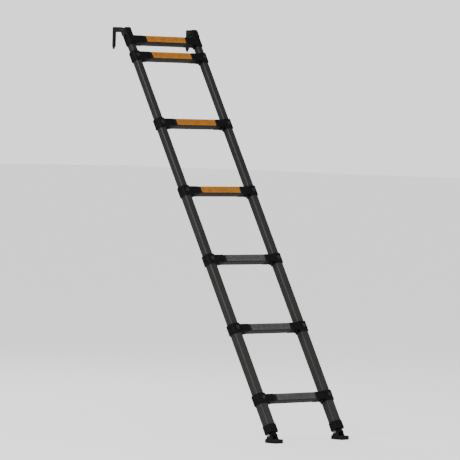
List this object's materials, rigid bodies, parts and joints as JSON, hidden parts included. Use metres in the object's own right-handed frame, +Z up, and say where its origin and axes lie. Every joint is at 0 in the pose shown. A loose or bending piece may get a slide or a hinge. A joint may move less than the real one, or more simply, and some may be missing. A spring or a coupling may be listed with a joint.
{
  "type": "telescopic boarding ladder",
  "caption": "Leaning telescopic ladder that steps up beside a pickup's tailgate: nested dark rails, box treads with bright grip strips, thumb locks, pivoting rubber shoes and hooks at the top.",
  "frame": {"origin": "on the ground, at the middle of the ladder's footprint in plan", "axes": "+X along the treads to the climber's right, +Y away from the climber, the way the ladder leans, +Z up"},
  "size_m": [0.5002, 1.0871, 1.8472],
  "materials": {
    "rail_aluminium": "dark anodised, satin",
    "tread_aluminium": "dark anodised, satin",
    "orange_grip": "moulded, matt, ribbed",
    "grey_grip": "moulded, matt, ribbed",
    "collar_plastic": "moulded, fine texture",
    "latch_plastic": "moulded, fine texture",
    "rivet_steel": "black, semi-gloss",
    "spring_steel": "bright wire",
    "fitting_plastic": "moulded, fine texture",
    "pin_steel": "zinc plated",
    "shoe_rubber": "moulded, matt",
    "hook_steel": "powder coated, fine texture",
    "liner_rubber": "matt",
    "bolt_steel": "black oxide"
  },
  "bodies": {
    "section_1": {"rail_tubes_1": "rail_aluminium", "collars_1": "collar_plastic", "tread_1": "tread_aluminium", "grip_strip_1": "grey_grip", "collar_rivets_1": "rivet_steel", "latch_springs_1": "spring_steel", "foot_fittings": "fitting_plastic", "shoe_pins": "pin_steel"},
    "section_2": {"rail_tubes_2": "rail_aluminium", "collars_2": "collar_plastic", "tread_2": "tread_aluminium", "grip_strip_2": "grey_grip", "collar_rivets_2": "rivet_steel", "latch_springs_2": "spring_steel"},
    "section_3": {"rail_tubes_3": "rail_aluminium", "collars_3": "collar_plastic", "tread_3": "tread_aluminium", "grip_strip_3": "grey_grip", "collar_rivets_3": "rivet_steel", "latch_springs_3": "spring_steel"},
    "section_4": {"rail_tubes_4": "rail_aluminium", "collars_4": "collar_plastic", "tread_4": "tread_aluminium", "grip_strip_4": "orange_grip", "collar_rivets_4": "rivet_steel", "latch_springs_4": "spring_steel"},
    "section_5": {"rail_tubes_5": "rail_aluminium", "collars_5": "collar_plastic", "tread_5": "tread_aluminium", "grip_strip_5": "orange_grip", "collar_rivets_5": "rivet_steel", "latch_springs_5": "spring_steel"},
    "section_6": {"rail_tubes_6": "rail_aluminium", "collars_6": "collar_plastic", "tread_6": "tread_aluminium", "grip_strip_6": "orange_grip", "collar_rivets_6": "rivet_steel", "latch_springs_6": "spring_steel"},
    "section_7": {"rail_tubes_7": "rail_aluminium", "collars_7": "collar_plastic", "tread_7": "tread_aluminium", "grip_strip_7": "orange_grip", "hook_left": "hook_steel", "hook_right": "hook_steel", "hook_liners": "liner_rubber", "hook_bolts": "bolt_steel"},
    "latch_left_1": {"latch_left_1": "latch_plastic"},
    "latch_right_1": {"latch_right_1": "latch_plastic"},
    "latch_left_2": {"latch_left_2": "latch_plastic"},
    "latch_right_2": {"latch_right_2": "latch_plastic"},
    "latch_left_3": {"latch_left_3": "latch_plastic"},
    "latch_right_3": {"latch_right_3": "latch_plastic"},
    "latch_left_4": {"latch_left_4": "latch_plastic"},
    "latch_right_4": {"latch_right_4": "latch_plastic"},
    "latch_left_5": {"latch_left_5": "latch_plastic"},
    "latch_right_5": {"latch_right_5": "latch_plastic"},
    "latch_left_6": {"latch_left_6": "latch_plastic"},
    "latch_right_6": {"latch_right_6": "latch_plastic"},
    "shoe_left": {"shoe_left": "shoe_rubber"},
    "shoe_right": {"shoe_right": "shoe_rubber"}
  },
  "joints": [
    {"name": "slide_2", "type": "slide", "parent": "section_1", "child": "section_2", "axis": [0, 0.4787, 0.878], "range_m": [-0.09, 0]},
    {"name": "slide_3", "type": "slide", "parent": "section_2", "child": "section_3", "axis": [0, 0.4787, 0.878], "range_m": [-0.263, 0]},
    {"name": "slide_4", "type": "slide", "parent": "section_3", "child": "section_4", "axis": [0, 0.4787, 0.878], "range_m": [-0.263, 0]},
    {"name": "slide_5", "type": "slide", "parent": "section_4", "child": "section_5", "axis": [0, 0.4787, 0.878], "range_m": [-0.263, 0]},
    {"name": "slide_6", "type": "slide", "parent": "section_5", "child": "section_6", "axis": [0, 0.4787, 0.878], "range_m": [-0.263, 0]},
    {"name": "slide_7", "type": "slide", "parent": "section_6", "child": "section_7", "axis": [0, 0.4787, 0.878], "range_m": [0, 0.263]},
    {"name": "latch_left_1_slide", "type": "slide", "parent": "section_1", "child": "latch_left_1", "axis": [1, 0, 0], "range_m": [0, 0.008], "stiffness_N_per_m": 1300, "springref_m": -0.006, "deforming": ["latch_springs_1"]},
    {"name": "latch_right_1_slide", "type": "slide", "parent": "section_1", "child": "latch_right_1", "axis": [-1, 0, 0], "range_m": [0, 0.008], "stiffness_N_per_m": 1300, "springref_m": -0.006, "deforming": ["latch_springs_1"]},
    {"name": "latch_left_2_slide", "type": "slide", "parent": "section_2", "child": "latch_left_2", "axis": [1, 0, 0], "range_m": [0, 0.008], "stiffness_N_per_m": 1300, "springref_m": -0.006, "deforming": ["latch_springs_2"]},
    {"name": "latch_right_2_slide", "type": "slide", "parent": "section_2", "child": "latch_right_2", "axis": [-1, 0, 0], "range_m": [0, 0.008], "stiffness_N_per_m": 1300, "springref_m": -0.006, "deforming": ["latch_springs_2"]},
    {"name": "latch_left_3_slide", "type": "slide", "parent": "section_3", "child": "latch_left_3", "axis": [1, 0, 0], "range_m": [0, 0.008], "stiffness_N_per_m": 1300, "springref_m": -0.006, "deforming": ["latch_springs_3"]},
    {"name": "latch_right_3_slide", "type": "slide", "parent": "section_3", "child": "latch_right_3", "axis": [-1, 0, 0], "range_m": [0, 0.008], "stiffness_N_per_m": 1300, "springref_m": -0.006, "deforming": ["latch_springs_3"]},
    {"name": "latch_left_4_slide", "type": "slide", "parent": "section_4", "child": "latch_left_4", "axis": [1, 0, 0], "range_m": [0, 0.008], "stiffness_N_per_m": 1300, "springref_m": -0.006, "deforming": ["latch_springs_4"]},
    {"name": "latch_right_4_slide", "type": "slide", "parent": "section_4", "child": "latch_right_4", "axis": [-1, 0, 0], "range_m": [0, 0.008], "stiffness_N_per_m": 1300, "springref_m": -0.006, "deforming": ["latch_springs_4"]},
    {"name": "latch_left_5_slide", "type": "slide", "parent": "section_5", "child": "latch_left_5", "axis": [1, 0, 0], "range_m": [0, 0.008], "stiffness_N_per_m": 1300, "springref_m": -0.006, "deforming": ["latch_springs_5"]},
    {"name": "latch_right_5_slide", "type": "slide", "parent": "section_5", "child": "latch_right_5", "axis": [-1, 0, 0], "range_m": [0, 0.008], "stiffness_N_per_m": 1300, "springref_m": -0.006, "deforming": ["latch_springs_5"]},
    {"name": "latch_left_6_slide", "type": "slide", "parent": "section_6", "child": "latch_left_6", "axis": [1, 0, 0], "range_m": [0, 0.008], "stiffness_N_per_m": 1300, "springref_m": -0.006, "deforming": ["latch_springs_6"]},
    {"name": "latch_right_6_slide", "type": "slide", "parent": "section_6", "child": "latch_right_6", "axis": [-1, 0, 0], "range_m": [0, 0.008], "stiffness_N_per_m": 1300, "springref_m": -0.006, "deforming": ["latch_springs_6"]},
    {"name": "shoe_left_pivot", "type": "hinge", "parent": "section_1", "child": "shoe_left", "pos_m": [-0.22, -0.49919, 0.034], "axis": [1, 0, 0], "range_deg": [-28, 18]},
    {"name": "shoe_right_pivot", "type": "hinge", "parent": "section_1", "child": "shoe_right", "pos_m": [0.22, -0.49919, 0.034], "axis": [1, 0, 0], "range_deg": [-28, 18]}
  ]
}
